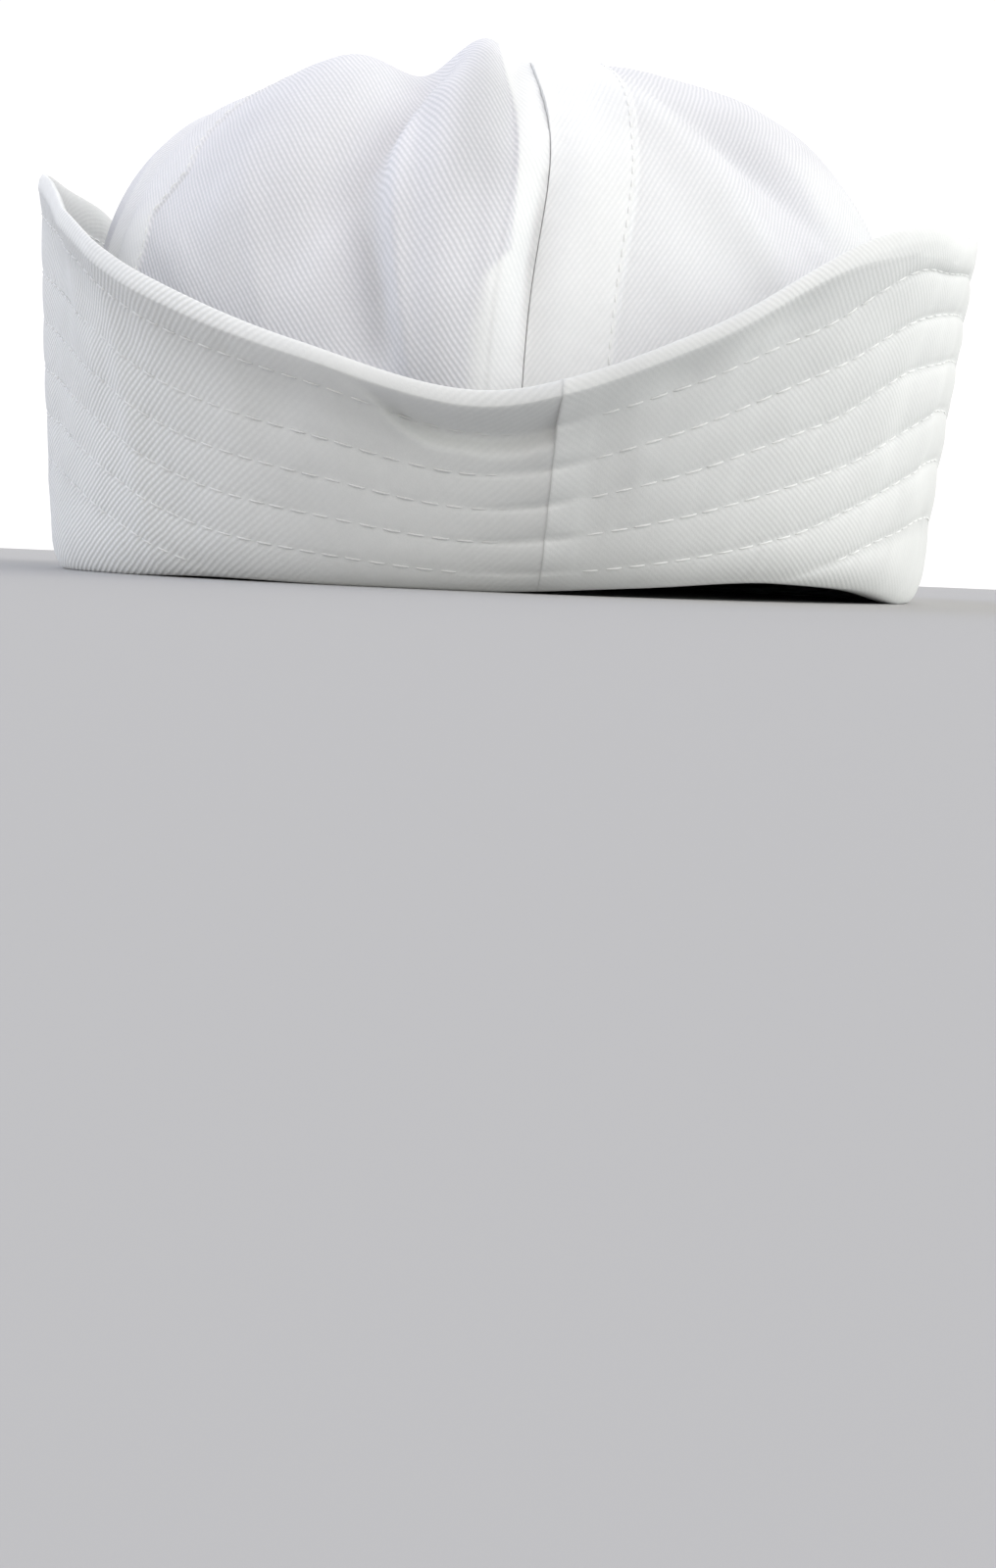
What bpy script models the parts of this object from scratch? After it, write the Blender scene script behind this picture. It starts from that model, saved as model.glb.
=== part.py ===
"""Sailor cap: six crown gores of white cotton twill and a turned-up, quilted brim in two halves.

The cap rests on its rim. The origin is on that surface under the middle of the cap, +Z is up and the
front of the cap faces -Y. Azimuths are in degrees from the front, growing towards +X. Tables are in
millimetres and degrees, everything else is in metres.
"""

from collections import namedtuple

import bpy
import numpy as np

MM = 0.001
SEAM_GAP = 0.3 * MM                 # kept between neighbouring pieces
CAP_CENTRE = np.array((-0.9, 1.5)) * MM   # brings the bounding box over the origin

# Rim: the outline of the brim's outer face, just above the fold that the cap rests on
RIM_HALF_WIDTH = 98 * MM
RIM_HALF_LENGTH = 96 * MM

# Brim
BRIM_CLOTH = 2.4 * MM               # quilted layers
FOLD_HEIGHT = 7 * MM                # height over which the fold rounds out to the face
FOLD_INSET = 2.5 * MM               # how far the fold's underside lies inside the face
FOLD_STEPS = (0, 30, 60, 90)        # degrees around the fold
UNDERSIDE_WIDTH = 2.3 * MM          # flat width on the surface
LEG_REACH = -3.6 * MM               # outer side of the short inner leg, from the rim outline
LEG_TOP = 7 * MM                    # height of the leg, which carries the crown's hem
LEG_ROUNDING = ((0, 2.6), (0.4, 0.8))   # outwards and up from the foot of the leg's inner side, mm
TROUGH = ((-2.5, 3.8), (-3.0, 2.6), (-3.6, 3.4))    # reach and height over the underside, mm
INNER_FACE_STEPS = 5
EDGE_STEPS = (0, 45, 90, 135, 180)  # degrees around the rounded edge
STITCH_ROWS = 6
QUILT_RELIEF = 0.35 * MM            # of a channel over the face, and of a stitch row under it
QUILT_FULL_PITCH = 6 * MM           # closer rows have less relief
ROW_CLEARANCE = 0.5 * MM            # between rows that run out into the fold
LIP_HEIGHT = 9 * MM                 # top stretch of the front brim that curls outwards
LIP_POWER = 1.6
BRIM_SEAMS = (5, 185)               # azimuths of the front and back seams
BRIM_STATIONS_PER_HALF = 25

# The brim around the cap: heights of the edge and of the lifted rim, lean and lip of the face, and how
# far down from the edge the first stitch row and the next ones run
BrimStation = namedtuple("BrimStation", "azimuth height lean lip lift first_row row_pitch")
BRIM_TABLE = (
    (-180, 43.0, 19.0, 0.0, 0.0, 8.0, 6.8),
    (-150, 54.0, 14.0, 0.0, 0.0, 8.5, 7.8),
    (-120, 77.0, 6.0, 0.0, 0.0, 9.0, 9.2),
    (-105, 85.0, 2.6, 0.0, 0.0, 9.3, 9.8),
    (-90, 84.0, 1.2, 0.0, 0.0, 9.5, 9.9),
    (-75, 79.8, 0.8, 0.0, 0.0, 9.4, 9.4),
    (-60, 71.2, 1.6, 0.0, 0.0, 9.6, 8.5),
    (-45, 60.0, 8.0, 0.0, 0.0, 8.8, 8.1),
    (-30, 46.2, 19.0, 0.0, 0.4, 8.7, 7.1),
    (-15, 35.1, 24.0, 2.5, 0.0, 6.7, 5.9),
    (0, 28.9, 26.0, 4.0, 0.0, 6.4, 4.9),
    (15, 38.2, 24.0, 2.0, 1.5, 6.9, 6.5),
    (30, 53.1, 19.0, 0.0, 3.2, 6.9, 8.8),
    (37, 58.3, 15.5, 0.0, 3.0, 6.3, 9.3),
    (45, 61.6, 11.5, 0.0, 2.5, 6.5, 9.2),
    (60, 68.8, 4.9, 0.0, 0.0, 7.2, 9.7),
    (75, 73.5, 3.0, 0.0, 0.0, 8.7, 10.0),
    (90, 77.0, 3.0, 0.0, 0.0, 9.5, 10.2),
    (120, 68.0, 6.0, 0.0, 0.0, 9.0, 9.4),
    (150, 52.0, 15.0, 0.0, 0.0, 8.5, 7.8),
)

# Crown: a dome whose plan and profile are superellipses; climb runs from 0 at its hem to 1 at its apex
CROWN_HALF_WIDTH = 93.6 * MM
CROWN_HALF_LENGTH = 91.4 * MM
CROWN_HEIGHT = 101.5 * MM
CROWN_HEM = LEG_TOP + SEAM_GAP
CROWN_CLOTH = 1.5 * MM
SIDE_ROUNDNESS = 2.9
TOP_ROUNDNESS = 3.2
APEX_SHIFT = np.array((1.5, 0.0)) * MM
APEX_SHIFT_POWER = 1.5              # the dome leans mostly near its top
APEX_RADIUS = 1.4 * MM              # where the six gores end around the apex
FIRST_SEAM = 2.6                    # azimuth of the front seam at its ends
SWAY_CLIMB = 0.42                   # where a seam strays furthest from its straight run
SWAY_STRETCH = 0.14
GORE_ANGLE = 60
SEAM_DEPTH = 1.2 * MM               # how far the cloth is drawn in at a seam
SEAM_HALF_WIDTH = 3.5 * MM
STRIP_WIDTH = 14.5 * MM             # facing strip stitched down beside each seam
STRIP_HEIGHT = 0.5 * MM
STRIP_EDGE = 0.8 * MM
HEM_STRETCH = 0.12                  # climb over which folds grow from the hem
TIP_STRETCH = 0.85                  # climb over which folds fade towards the apex
FOLD_END = 0.09                     # climb over which a fold fades at each end
CLIMB_FACES = 17                    # faces from the hem to the apex
PROFILE_STEPS = 2000
NORMAL_STEP = 0.001                 # of climb, and degrees, over which normals are measured

# Gores in order of azimuth from the front seam: faces across each, and degrees that its first seam strays
Gore = namedtuple("Gore", "place faces sway")
GORES = (
    Gore("front_right", 16, 2.2),
    Gore("side_right", 11, -1.0),
    Gore("back_right", 11, 1.2),
    Gore("back_left", 11, -1.2),
    Gore("side_left", 11, 1.0),
    Gore("front_left", 28, 0.8),
)

# Folds of the crown: from a low end to a high end, half width and rise over the dome
Fold = namedtuple("Fold", "low_azimuth low_climb high_azimuth high_climb half_width rise")
FOLDS = (
    (-6, 0.16, -7.5, 0.84, 8.0, 3.5),    # ridge beside the front seam
    (0.6, 0.40, -1.1, 0.80, 2.6, -2.1),  # furrow between that ridge and the seam
    (-15, 0.38, -13, 0.58, 6.0, -4.0),   # valley that notches the outline
    (-13, 0.55, -30, 0.86, 8.8, -5.0),   # the same valley over the top
    (-10, 0.14, -13, 0.48, 2.6, 1.8),    # crease between the two valleys
    (-11, 0.14, -17, 0.38, 6.0, -3.0),   # lower valley
    (-30, 0.32, -27, 0.68, 14.0, 3.2),   # full part of the front left gore
    (-31, 0.22, -48, 0.37, 5.0, 1.5),    # soft crease across the front left gore
    (-72, 0.24, -66, 0.60, 20.0, 2.8),   # full left side
    (34, 0.26, 9, 0.60, 6.0, 1.1),       # crease across the front right gore
    (38, 0.32, 24, 0.58, 7.0, -1.4),     # hollow behind that crease
    (66, 0.24, 62, 0.56, 20.0, -0.8),    # slack right side
    (9, 0.42, 10.3, 0.80, 7.0, -1.3),    # flat top beside the front seam
    (30, 0.40, 26, 0.78, 16.0, 0.8),     # full shoulder of the front right gore
    (52, 0.36, 50, 0.75, 14.0, 1.3),
    (98, 0.20, 90, 0.66, 9.0, 2.6),
    (146, 0.20, 152, 0.62, 9.0, 2.4),
    (168, 0.25, 163, 0.55, 8.0, -2.2),
    (-152, 0.20, -148, 0.64, 10.0, 2.6),
    (-132, 0.22, -136, 0.58, 8.0, -2.0),
    (-100, 0.22, -104, 0.60, 8.0, -2.0),
)

SHARP_ANGLE = 50                    # degrees between faces that leave a sharp edge
COTTON = {"base_color": (0.86, 0.88, 0.89, 1.0), "roughness": 0.85, "metallic": 0.0}


# ---------------------------------------------------------------- shared helpers

def direction(azimuth):
    """Horizontal unit vectors at azimuths in degrees."""
    angle = np.radians(azimuth)
    return np.stack((np.sin(angle), -np.cos(angle)), axis=-1)


def oval_radius(azimuth, half_width, half_length):
    """Distance from the middle to an ellipse at azimuths in degrees."""
    across, along = np.moveaxis(direction(azimuth), -1, 0)
    return 1 / np.hypot(across / half_width, along / half_length)


def smooth_step(value, start, end):
    """0 before start, 1 after end, and a smooth rise between them."""
    share = np.clip((value - start) / (end - start), 0, 1)
    return share * share * (3 - 2 * share)


def signed_turn(angle):
    """An angle in degrees brought between -180 and 180."""
    return (angle + 180) % 360 - 180


def read_around(places, values, azimuth):
    """A smooth curve around the cap through values at places, read at one azimuth."""
    places = np.concatenate((places - 360, places, places + 360))
    values = np.tile(values, 3)
    slopes = np.gradient(values, places)
    place = signed_turn(azimuth)
    left = np.clip(np.searchsorted(places, place) - 1, 0, len(places) - 2)
    step = places[left + 1] - places[left]
    share = (place - places[left]) / step
    rise = share * share * (3 - 2 * share)
    return (
        values[left] * (1 - rise) + values[left + 1] * rise
        + step * slopes[left] * share * (1 - share) ** 2
        - step * slopes[left + 1] * share ** 2 * (1 - share)
    )


def cotton_material(name):
    """White cotton twill."""
    material = bpy.data.materials.new(name)
    material.use_nodes = True
    shader = material.node_tree.nodes["Principled BSDF"]
    shader.inputs["Base Color"].default_value = COTTON["base_color"]
    shader.inputs["Roughness"].default_value = COTTON["roughness"]
    shader.inputs["Metallic"].default_value = COTTON["metallic"]
    return material


def add_object(name, points, faces):
    """A mesh object with its own cotton material, smooth except at its cut edges."""
    mesh = bpy.data.meshes.new(name)
    mesh.from_pydata([tuple(point) for point in points], [], faces)
    mesh.validate()
    mesh.shade_smooth()
    mesh.set_sharp_from_angle(angle=np.radians(SHARP_ANGLE))
    mesh.materials.append(cotton_material(name + "_cotton"))
    piece = bpy.data.objects.new(name, mesh)
    bpy.context.scene.collection.objects.link(piece)
    return piece


# ---------------------------------------------------------------- brim

def brim_station(azimuth):
    """The brim's table read at any azimuth, with lengths in metres."""
    columns = np.array(BRIM_TABLE, float).T
    values = [read_around(columns[0], column, azimuth) for column in columns[1:]]
    height, lean, lip, lift, first_row, row_pitch = values
    return BrimStation(
        azimuth=azimuth,
        height=height * MM,
        lean=lean,
        lip=max(lip, 0) * MM,
        lift=max(lift, 0) * MM,
        first_row=first_row * MM,
        row_pitch=row_pitch * MM,
    )


def face_reach(height, station):
    """How far the brim's face leans out over the rim outline at a height."""
    lip_share = np.clip((height - station.height) / LIP_HEIGHT + 1, 0, None)
    return np.tan(np.radians(station.lean)) * height + station.lip * lip_share ** LIP_POWER


def stitch_heights(station):
    """Heights of the stitch rows from the lowest to the one next to the edge."""
    down = station.first_row + station.row_pitch * np.arange(STITCH_ROWS)[::-1]
    lowest = station.lift + FOLD_HEIGHT + ROW_CLEARANCE * np.arange(1, STITCH_ROWS + 1)
    return np.maximum(station.height - down, lowest)


def brim_section(azimuth):
    """Closed outline of the brim's cloth: (reach from the rim outline, height) around its section."""
    station = brim_station(azimuth)
    lift = station.lift
    face_foot = lift + FOLD_HEIGHT
    section = []

    # Fold, from the underside to the outer face
    for step in np.radians(FOLD_STEPS):
        height = lift + FOLD_HEIGHT * (1 - np.cos(step))
        lean_share = (height - lift) / face_foot
        reach = FOLD_INSET * (np.sin(step) - 1) + face_reach(face_foot, station) * lean_share
        section.append((reach, height))

    # Outer face, sunk at the stitch rows and puffed between them
    rows = stitch_heights(station)
    levels = (face_foot, *rows, station.height)
    for low, high in zip(levels[:-1], levels[1:]):
        relief = QUILT_RELIEF * min((high - low) / QUILT_FULL_PITCH, 1)
        middle = (low + high) / 2
        section.append((face_reach(middle, station) + relief, middle))
        if high < station.height:
            section.append((face_reach(high, station) - relief, high))

    # Rounded edge
    for step in np.radians(EDGE_STEPS):
        height = station.height - BRIM_CLOTH / 2 * (1 - np.sin(step))
        reach = face_reach(height, station) - BRIM_CLOTH / 2 * (1 - np.cos(step))
        section.append((reach, height))

    # Inner face, trough, inner leg, and back to the underside
    for height in np.linspace(rows[-1], face_foot, INNER_FACE_STEPS):
        section.append((face_reach(height, station) - BRIM_CLOTH, height))
    for reach, height in TROUGH:
        section.append((reach * MM, lift + height * MM))
    leg_inside = LEG_REACH - BRIM_CLOTH
    section.append((LEG_REACH, LEG_TOP))
    section.append((leg_inside, LEG_TOP))
    for outwards, height in LEG_ROUNDING:
        section.append((leg_inside + outwards * MM, lift + height * MM))
    section.append((-FOLD_INSET - UNDERSIDE_WIDTH, lift))
    return np.array(section)


def build_brim_half(name, start, end):
    """One half of the brim between two seam azimuths."""
    half_gap = np.degrees(SEAM_GAP / 2 / RIM_HALF_WIDTH)
    stations = np.linspace(start + half_gap, end - half_gap, BRIM_STATIONS_PER_HALF)
    points = []
    for azimuth in stations:
        section = brim_section(azimuth)
        radius = oval_radius(azimuth, RIM_HALF_WIDTH, RIM_HALF_LENGTH) + section[:, 0]
        flat = radius[:, None] * direction(azimuth) + CAP_CENTRE
        points.append(np.column_stack((flat, section[:, 1])))
    count = len(points[0])
    faces = [tuple(range(count))]
    for station in range(len(stations) - 1):
        for corner in range(count):
            here = station * count + corner
            beside = station * count + (corner + 1) % count
            faces.append((here, here + count, beside + count, beside))
    last = (len(stations) - 1) * count
    faces.append(tuple(range(last, last + count))[::-1])
    return add_object(name, np.concatenate(points), faces)


# ---------------------------------------------------------------- crown

def crown_profile():
    """Share of the hem's radius and share of the height, at equal steps of climb along the dome."""
    turn = np.linspace(0, np.pi / 2, PROFILE_STEPS + 1)
    radius = np.clip(np.cos(turn), 0, 1) ** (2 / SIDE_ROUNDNESS)
    height = np.sin(turn) ** (2 / TOP_ROUNDNESS)
    run = np.diff(radius) * CROWN_HALF_WIDTH
    rise = np.diff(height) * (CROWN_HEIGHT - CROWN_HEM)
    climb = np.concatenate(((0,), np.cumsum(np.hypot(run, rise))))
    return climb / climb[-1], radius, height


PROFILE_CLIMB, PROFILE_RADIUS, PROFILE_HEIGHT = crown_profile()


def dome_radius(azimuth, climb):
    """Distance of the plain dome from its own middle."""
    share = np.interp(climb, PROFILE_CLIMB, PROFILE_RADIUS)
    return share * oval_radius(azimuth, CROWN_HALF_WIDTH, CROWN_HALF_LENGTH)


def dome_point(azimuth, climb):
    """A point of the plain dome."""
    share = np.interp(climb, PROFILE_CLIMB, PROFILE_HEIGHT)
    radius = dome_radius(azimuth, climb)
    flat = radius[..., None] * direction(azimuth) + APEX_SHIFT * (share ** APEX_SHIFT_POWER)[..., None]
    height = CROWN_HEM + (CROWN_HEIGHT - CROWN_HEM) * share
    return np.concatenate((flat, height[..., None]), axis=-1)


def seam_azimuth(number, climb):
    """Azimuth of a seam, counted from the front one, which strays a little at mid height."""
    sway = GORES[number % len(GORES)].sway
    bend = np.exp(-((climb - SWAY_CLIMB) / SWAY_STRETCH) ** 2)
    return FIRST_SEAM + GORE_ANGLE * number + sway * bend


def from_nearest_seam(azimuth, climb):
    """Degrees from the nearest seam, positive on the side of the seam's facing strip."""
    offsets = np.stack([signed_turn(azimuth - seam_azimuth(number, climb)) for number in range(len(GORES))])
    nearest = np.abs(offsets).argmin(axis=0)
    return np.take_along_axis(offsets, nearest[None], axis=0)[0]


def crown_rise(azimuth, climb):
    """How far folds, seams and facing strips stand over the plain dome."""
    girth = np.radians(1) * dome_radius(azimuth, climb)
    rise = np.zeros_like(girth)
    for fold in (Fold(*row) for row in FOLDS):
        along = (climb - fold.low_climb) / (fold.high_climb - fold.low_climb)
        middle = fold.low_azimuth + (fold.high_azimuth - fold.low_azimuth) * along
        across = signed_turn(azimuth - middle) * girth
        grow = smooth_step(climb, fold.low_climb - FOLD_END, fold.low_climb + FOLD_END)
        fade = smooth_step(climb, fold.high_climb - FOLD_END, fold.high_climb + FOLD_END)
        height = fold.rise * MM * grow * (1 - fade)
        rise += height * np.exp(-(across / (fold.half_width * MM)) ** 2)
    beside = from_nearest_seam(azimuth, climb) * girth
    rise -= SEAM_DEPTH * np.exp(-(beside / SEAM_HALF_WIDTH) ** 2)
    rise *= smooth_step(climb, 0, HEM_STRETCH) * (1 - smooth_step(climb, TIP_STRETCH, 1))
    on_strip = smooth_step(STRIP_WIDTH - beside, -STRIP_EDGE / 2, STRIP_EDGE / 2) * (beside > 0)
    return rise + STRIP_HEIGHT * on_strip


def dome_normal(azimuth, climb):
    """Unit vectors out of the plain dome."""
    low = np.clip(climb - NORMAL_STEP, 0, 1)
    high = np.clip(climb + NORMAL_STEP, 0, 1)
    upwards = dome_point(azimuth, high) - dome_point(azimuth, low)
    around = dome_point(azimuth + NORMAL_STEP, climb) - dome_point(azimuth - NORMAL_STEP, climb)
    normal = np.cross(around, upwards)
    return normal / np.linalg.norm(normal, axis=-1, keepdims=True)


def gore_grid(number, faces):
    """Azimuth and climb at each point of a gore, with columns at both sides of its strip's edge."""
    tip_climb = np.interp(-APEX_RADIUS / CROWN_HALF_WIDTH, -PROFILE_RADIUS, PROFILE_CLIMB)
    climbs = np.linspace(0, tip_climb, CLIMB_FACES + 1)
    start = seam_azimuth(number, climbs)
    end = seam_azimuth(number + 1, climbs)
    margin = np.degrees(SEAM_GAP / 2 / dome_radius(start, climbs))
    strip_share = np.degrees(STRIP_WIDTH / CROWN_HALF_WIDTH) / GORE_ANGLE
    strip_faces = max(2, round(faces * strip_share))
    edge_share = np.degrees(STRIP_EDGE / CROWN_HALF_WIDTH) / GORE_ANGLE
    shares = np.concatenate((
        np.linspace(0, strip_share - edge_share / 2, strip_faces),
        np.linspace(strip_share + edge_share / 2, 1, faces - strip_faces + 1),
    ))
    start += margin
    end -= margin
    azimuths = start[:, None] + (end - start)[:, None] * shares
    return azimuths, np.repeat(climbs[:, None], len(shares), axis=1)


def build_gore(name, number, faces):
    """One gore of the crown, from the seam at its facing strip to the next seam."""
    azimuths, climbs = gore_grid(number, faces)
    normals = dome_normal(azimuths, climbs)
    outer = dome_point(azimuths, climbs) + normals * crown_rise(azimuths, climbs)[..., None]
    inner = outer - normals * CROWN_CLOTH
    rows, columns = azimuths.shape
    inner[0, :, 2] = outer[0, :, 2]
    points = np.concatenate((outer.reshape(-1, 3), inner.reshape(-1, 3)))
    points[:, :2] += CAP_CENTRE
    quads = []
    under = rows * columns
    for row in range(rows - 1):
        for column in range(columns - 1):
            here = row * columns + column
            quad = (here, here + 1, here + 1 + columns, here + columns)
            quads.append(quad)
            quads.append(tuple(corner + under for corner in reversed(quad)))
    border = [(0, column) for column in range(columns)]
    border += [(row, columns - 1) for row in range(1, rows)]
    border += [(rows - 1, column) for column in range(columns - 2, -1, -1)]
    border += [(row, 0) for row in range(rows - 2, 0, -1)]
    border = [row * columns + column for row, column in border]
    for here, beside in zip(border, border[1:] + border[:1]):
        quads.append((beside, here, here + under, beside + under))
    return add_object(name, points, quads)


# ---------------------------------------------------------------- assembly

def build_cap():
    for old in list(bpy.data.objects):
        bpy.data.objects.remove(old)
    for number, gore in enumerate(GORES):
        build_gore("crown_gore_" + gore.place, number, gore.faces)
    front_seam, back_seam = BRIM_SEAMS
    build_brim_half("brim_right", front_seam, back_seam)
    build_brim_half("brim_left", back_seam, front_seam + 360)


build_cap()
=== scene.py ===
"""Looks of the sailor cap: quilted brim halves and crown gores of white cotton twill, with their stitches.

Azimuths are in degrees from the front of the cap, growing towards +X. Tables are in millimetres and
degrees, everything else is in metres.
"""

from collections import namedtuple

import bpy
import numpy as np
from mathutils import Matrix


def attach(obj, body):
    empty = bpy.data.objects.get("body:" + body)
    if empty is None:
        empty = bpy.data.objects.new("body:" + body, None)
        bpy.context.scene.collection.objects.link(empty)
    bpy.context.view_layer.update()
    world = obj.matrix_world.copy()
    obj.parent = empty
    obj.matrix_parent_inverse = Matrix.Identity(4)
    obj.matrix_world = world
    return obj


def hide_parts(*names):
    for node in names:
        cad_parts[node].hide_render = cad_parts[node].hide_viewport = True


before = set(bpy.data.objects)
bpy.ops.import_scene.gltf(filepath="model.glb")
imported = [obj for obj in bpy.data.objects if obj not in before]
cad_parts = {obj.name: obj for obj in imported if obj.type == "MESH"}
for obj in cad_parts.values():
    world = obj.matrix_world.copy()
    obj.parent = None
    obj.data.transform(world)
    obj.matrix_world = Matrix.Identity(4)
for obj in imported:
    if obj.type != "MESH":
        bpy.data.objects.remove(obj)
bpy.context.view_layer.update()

MM = 0.001
CAP_CENTRE = np.array((-0.9, 1.5)) * MM

# ---------------- the cap's measures, as in the solids

# Brim, folded under at its oval rim into a short inner leg that carries the crown's hem
RIM_HALF_WIDTH = 98 * MM
RIM_HALF_LENGTH = 96 * MM
BRIM_CLOTH = 2.4 * MM
FOLD_HEIGHT = 7 * MM
FOLD_INSET = 2.5 * MM  # of the fold's underside from its face
UNDERSIDE_WIDTH = 2.3 * MM
LEG_REACH = -3.6 * MM  # of the leg's outer side, from the rim outline
LEG_TOP = 7 * MM
LEG_ROUNDING = ((0, 2.6), (0.4, 0.8))  # out and up from the foot of its inner side, mm
TROUGH = ((-2.5, 3.8), (-3.0, 2.6), (-3.6, 3.4))  # reach and height over the underside, mm
STITCH_ROWS = 6
QUILT_FULL_PITCH = 6 * MM  # closer rows have less relief
ROW_CLEARANCE = 0.5 * MM  # between rows that run out into the fold
LIP_HEIGHT = 9 * MM  # top stretch of the front's face that curls outwards
LIP_POWER = 1.6
BRIM_SEAMS = (5, 185)  # azimuths of the front and back seams

# Height of the edge, lean and lip of the face, lift of the rim, and how far down the stitch rows run. Only
# the edge from 15 to 37 and the lean at -50 and -45 differ a little from the solids
BrimStation = namedtuple("BrimStation", "azimuth height lean lip lift first_row row_pitch")
BRIM_TABLE = (
    (-180, 43, 19, 0, 0, 8, 6.8),
    (-150, 54, 14, 0, 0, 8.5, 7.8),
    (-120, 77, 6, 0, 0, 9, 9.2),
    (-105, 85, 2.6, 0, 0, 9.3, 9.8),
    (-90, 84, 1.2, 0, 0, 9.5, 9.9),
    (-75, 79.8, 0.8, 0, 0, 9.4, 9.4),
    (-60, 71.2, 1.6, 0, 0, 9.6, 8.5),
    (-50, 64, 5, 0, 0, 9.05, 8.25),
    (-45, 60, 8.3, 0, 0, 8.8, 8.1),
    (-30, 46.2, 19, 0, 0.4, 8.7, 7.1),
    (-15, 35.1, 24, 2.5, 0, 6.7, 5.9),
    (0, 28.9, 26, 4, 0, 6.4, 4.9),
    (15, 38.5, 24, 2, 1.5, 7.2, 6.5),
    (30, 55.2, 19, 0, 3.2, 9, 8.8),
    (37, 59.7, 15.5, 0, 3, 7.7, 9.3),
    (45, 61.6, 11.5, 0, 2.5, 6.5, 9.2),
    (60, 68.8, 4.9, 0, 0, 7.2, 9.7),
    (75, 73.5, 3, 0, 0, 8.7, 10),
    (90, 77, 3, 0, 0, 9.5, 10.2),
    (120, 68, 6, 0, 0, 9, 9.4),
    (150, 52, 15, 0, 0, 8.5, 7.8),
)

# Azimuth, and how far each stitch row, from the top down, lies above its place in the solids
ROW_SHIFTS = (
    (-180, 0, 0, 0, 0, 0, 0),
    (15, 0, 0, 0, 0, 0, 0),
    (22, -0.5, 0, 0, 0, 0, 0),
    (28, -1.3, -0.3, 0, 0, 0, 0),
    (32, 0, 0, 0, 0, 0, 0.3),
    (36, 1, 1.2, 1.4, 0, 0.6, 0.9),
    (40, 1.1, 2.6, 3.3, 1.2, 1.3, 1.4),
    (45, 0.9, 3.5, 4.3, 3, 2.6, 2.1),
    (50, 0.6, 3.3, 4.4, 4.7, 4.1, 2.7),
    (60, 0, 2.5, 4.3, 4.8, 5.3, 3.9),
    (75, 0, 1.2, 2, 2.4, 2.6, 2),
    (95, 0, 0, 0, 0, 0, 0),
)

# Crown: an oval dome with a superellipse for its profile. Climb runs from 0 at its hem to 1 at its apex
CROWN_HALF_WIDTH = 93.6 * MM
CROWN_HALF_LENGTH = 91.4 * MM
CROWN_HEIGHT = 101.5 * MM
CROWN_HEM = LEG_TOP + 0.3 * MM
CROWN_CLOTH = 1.5 * MM
SIDE_ROUNDNESS = 2.9
TOP_ROUNDNESS = 3.2
APEX_SHIFT = np.array((1.5, 0.0)) * MM
APEX_SHIFT_POWER = 1.5
FIRST_SEAM = 2.6  # azimuth of the front seam at its ends
SWAY_CLIMB = 0.42  # where a seam strays furthest
SWAY_STRETCH = 0.14
GORE_ANGLE = 60
SEAM_DEPTH = 1.2 * MM
SEAM_HALF_WIDTH = 3.5 * MM
STRIP_WIDTH = 14.5 * MM  # facing strip beside each seam
STRIP_HEIGHT = 0.5 * MM
STRIP_EDGE = 0.8 * MM  # over which a strip or an allowance steps down
HEM_STRETCH, TIP_STRETCH = 0.12, 0.85  # climbs between which folds are full
FOLD_END = 0.09  # climb to each side of a fold's end over which it fades
PROFILE_STEPS = 8000
NORMAL_STEP = 0.001

# Gores in order of azimuth, with degrees that the first seam strays and the lay of the twill
Gore = namedtuple("Gore", "place sway columns rows twill")
GORES = (
    Gore("front_right", 2.2, 132, 190, 55),
    Gore("side_right", -1.0, 96, 140, 120),
    Gore("back_right", 1.2, 96, 140, 57),
    Gore("back_left", -1.2, 96, 140, 121),
    Gore("side_left", 1.0, 96, 140, 58),
    Gore("front_left", 0.8, 150, 190, 130),
)

Fold = namedtuple("Fold", "low_azimuth low_climb high_azimuth high_climb half_width rise")
FOLDS = (
    (-6, 0.16, -7.5, 0.84, 8, 3.5),
    (0.6, 0.4, -1.1, 0.8, 2.6, -2.1),
    (-15, 0.38, -13, 0.58, 6, -4),
    (-13, 0.55, -30, 0.86, 8.8, -5),
    (-10, 0.14, -13, 0.48, 2.6, 1.8),
    (-11, 0.14, -17, 0.38, 6, -3),
    (-30, 0.32, -27, 0.68, 14, 3.2),
    (-31, 0.22, -48, 0.37, 5, 1.5),
    (-72, 0.24, -66, 0.6, 20, 2.8),
    (34, 0.26, 9, 0.6, 6, 1.1),
    (38, 0.32, 24, 0.58, 7, -1.4),
    (66, 0.24, 62, 0.56, 20, -0.8),
    (9, 0.42, 10.3, 0.8, 7, -1.3),
    (30, 0.4, 26, 0.78, 16, 0.8),
    (52, 0.36, 50, 0.75, 14, 1.3),
    (98, 0.2, 90, 0.66, 9, 2.6),
    (146, 0.2, 152, 0.62, 9, 2.4),
    (168, 0.25, 163, 0.55, 8, -2.2),
    (-152, 0.2, -148, 0.64, 10, 2.6),
    (-132, 0.22, -136, 0.58, 8, -2),
    (-100, 0.22, -104, 0.6, 8, -2),
)

# ---------------- what only the looks have

TIP_RADIUS = 0.25 * MM  # where the gores end around the apex
SEAM_FOLD = 0.14 * MM  # radius of the cloth's turn into a seam
TOPSTITCH_AT = 13.6 * MM  # from the seam
ALLOWANCE = 5.6 * MM  # pressed to the other side of the seam
ALLOWANCE_HEIGHT = 0.38 * MM
FRONT_EDGE_RISE = 0.9 * MM  # of the front left gore along its pressed allowance
FRONT_EDGE_WIDTH = 3.6 * MM
FRONT_LAP = 0.45 * MM  # of the front right gore over the seam
FRONT_CLIMBS = (0.16, 0.30, 0.46, 0.62)  # where these two start, are full, fade and end

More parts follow.
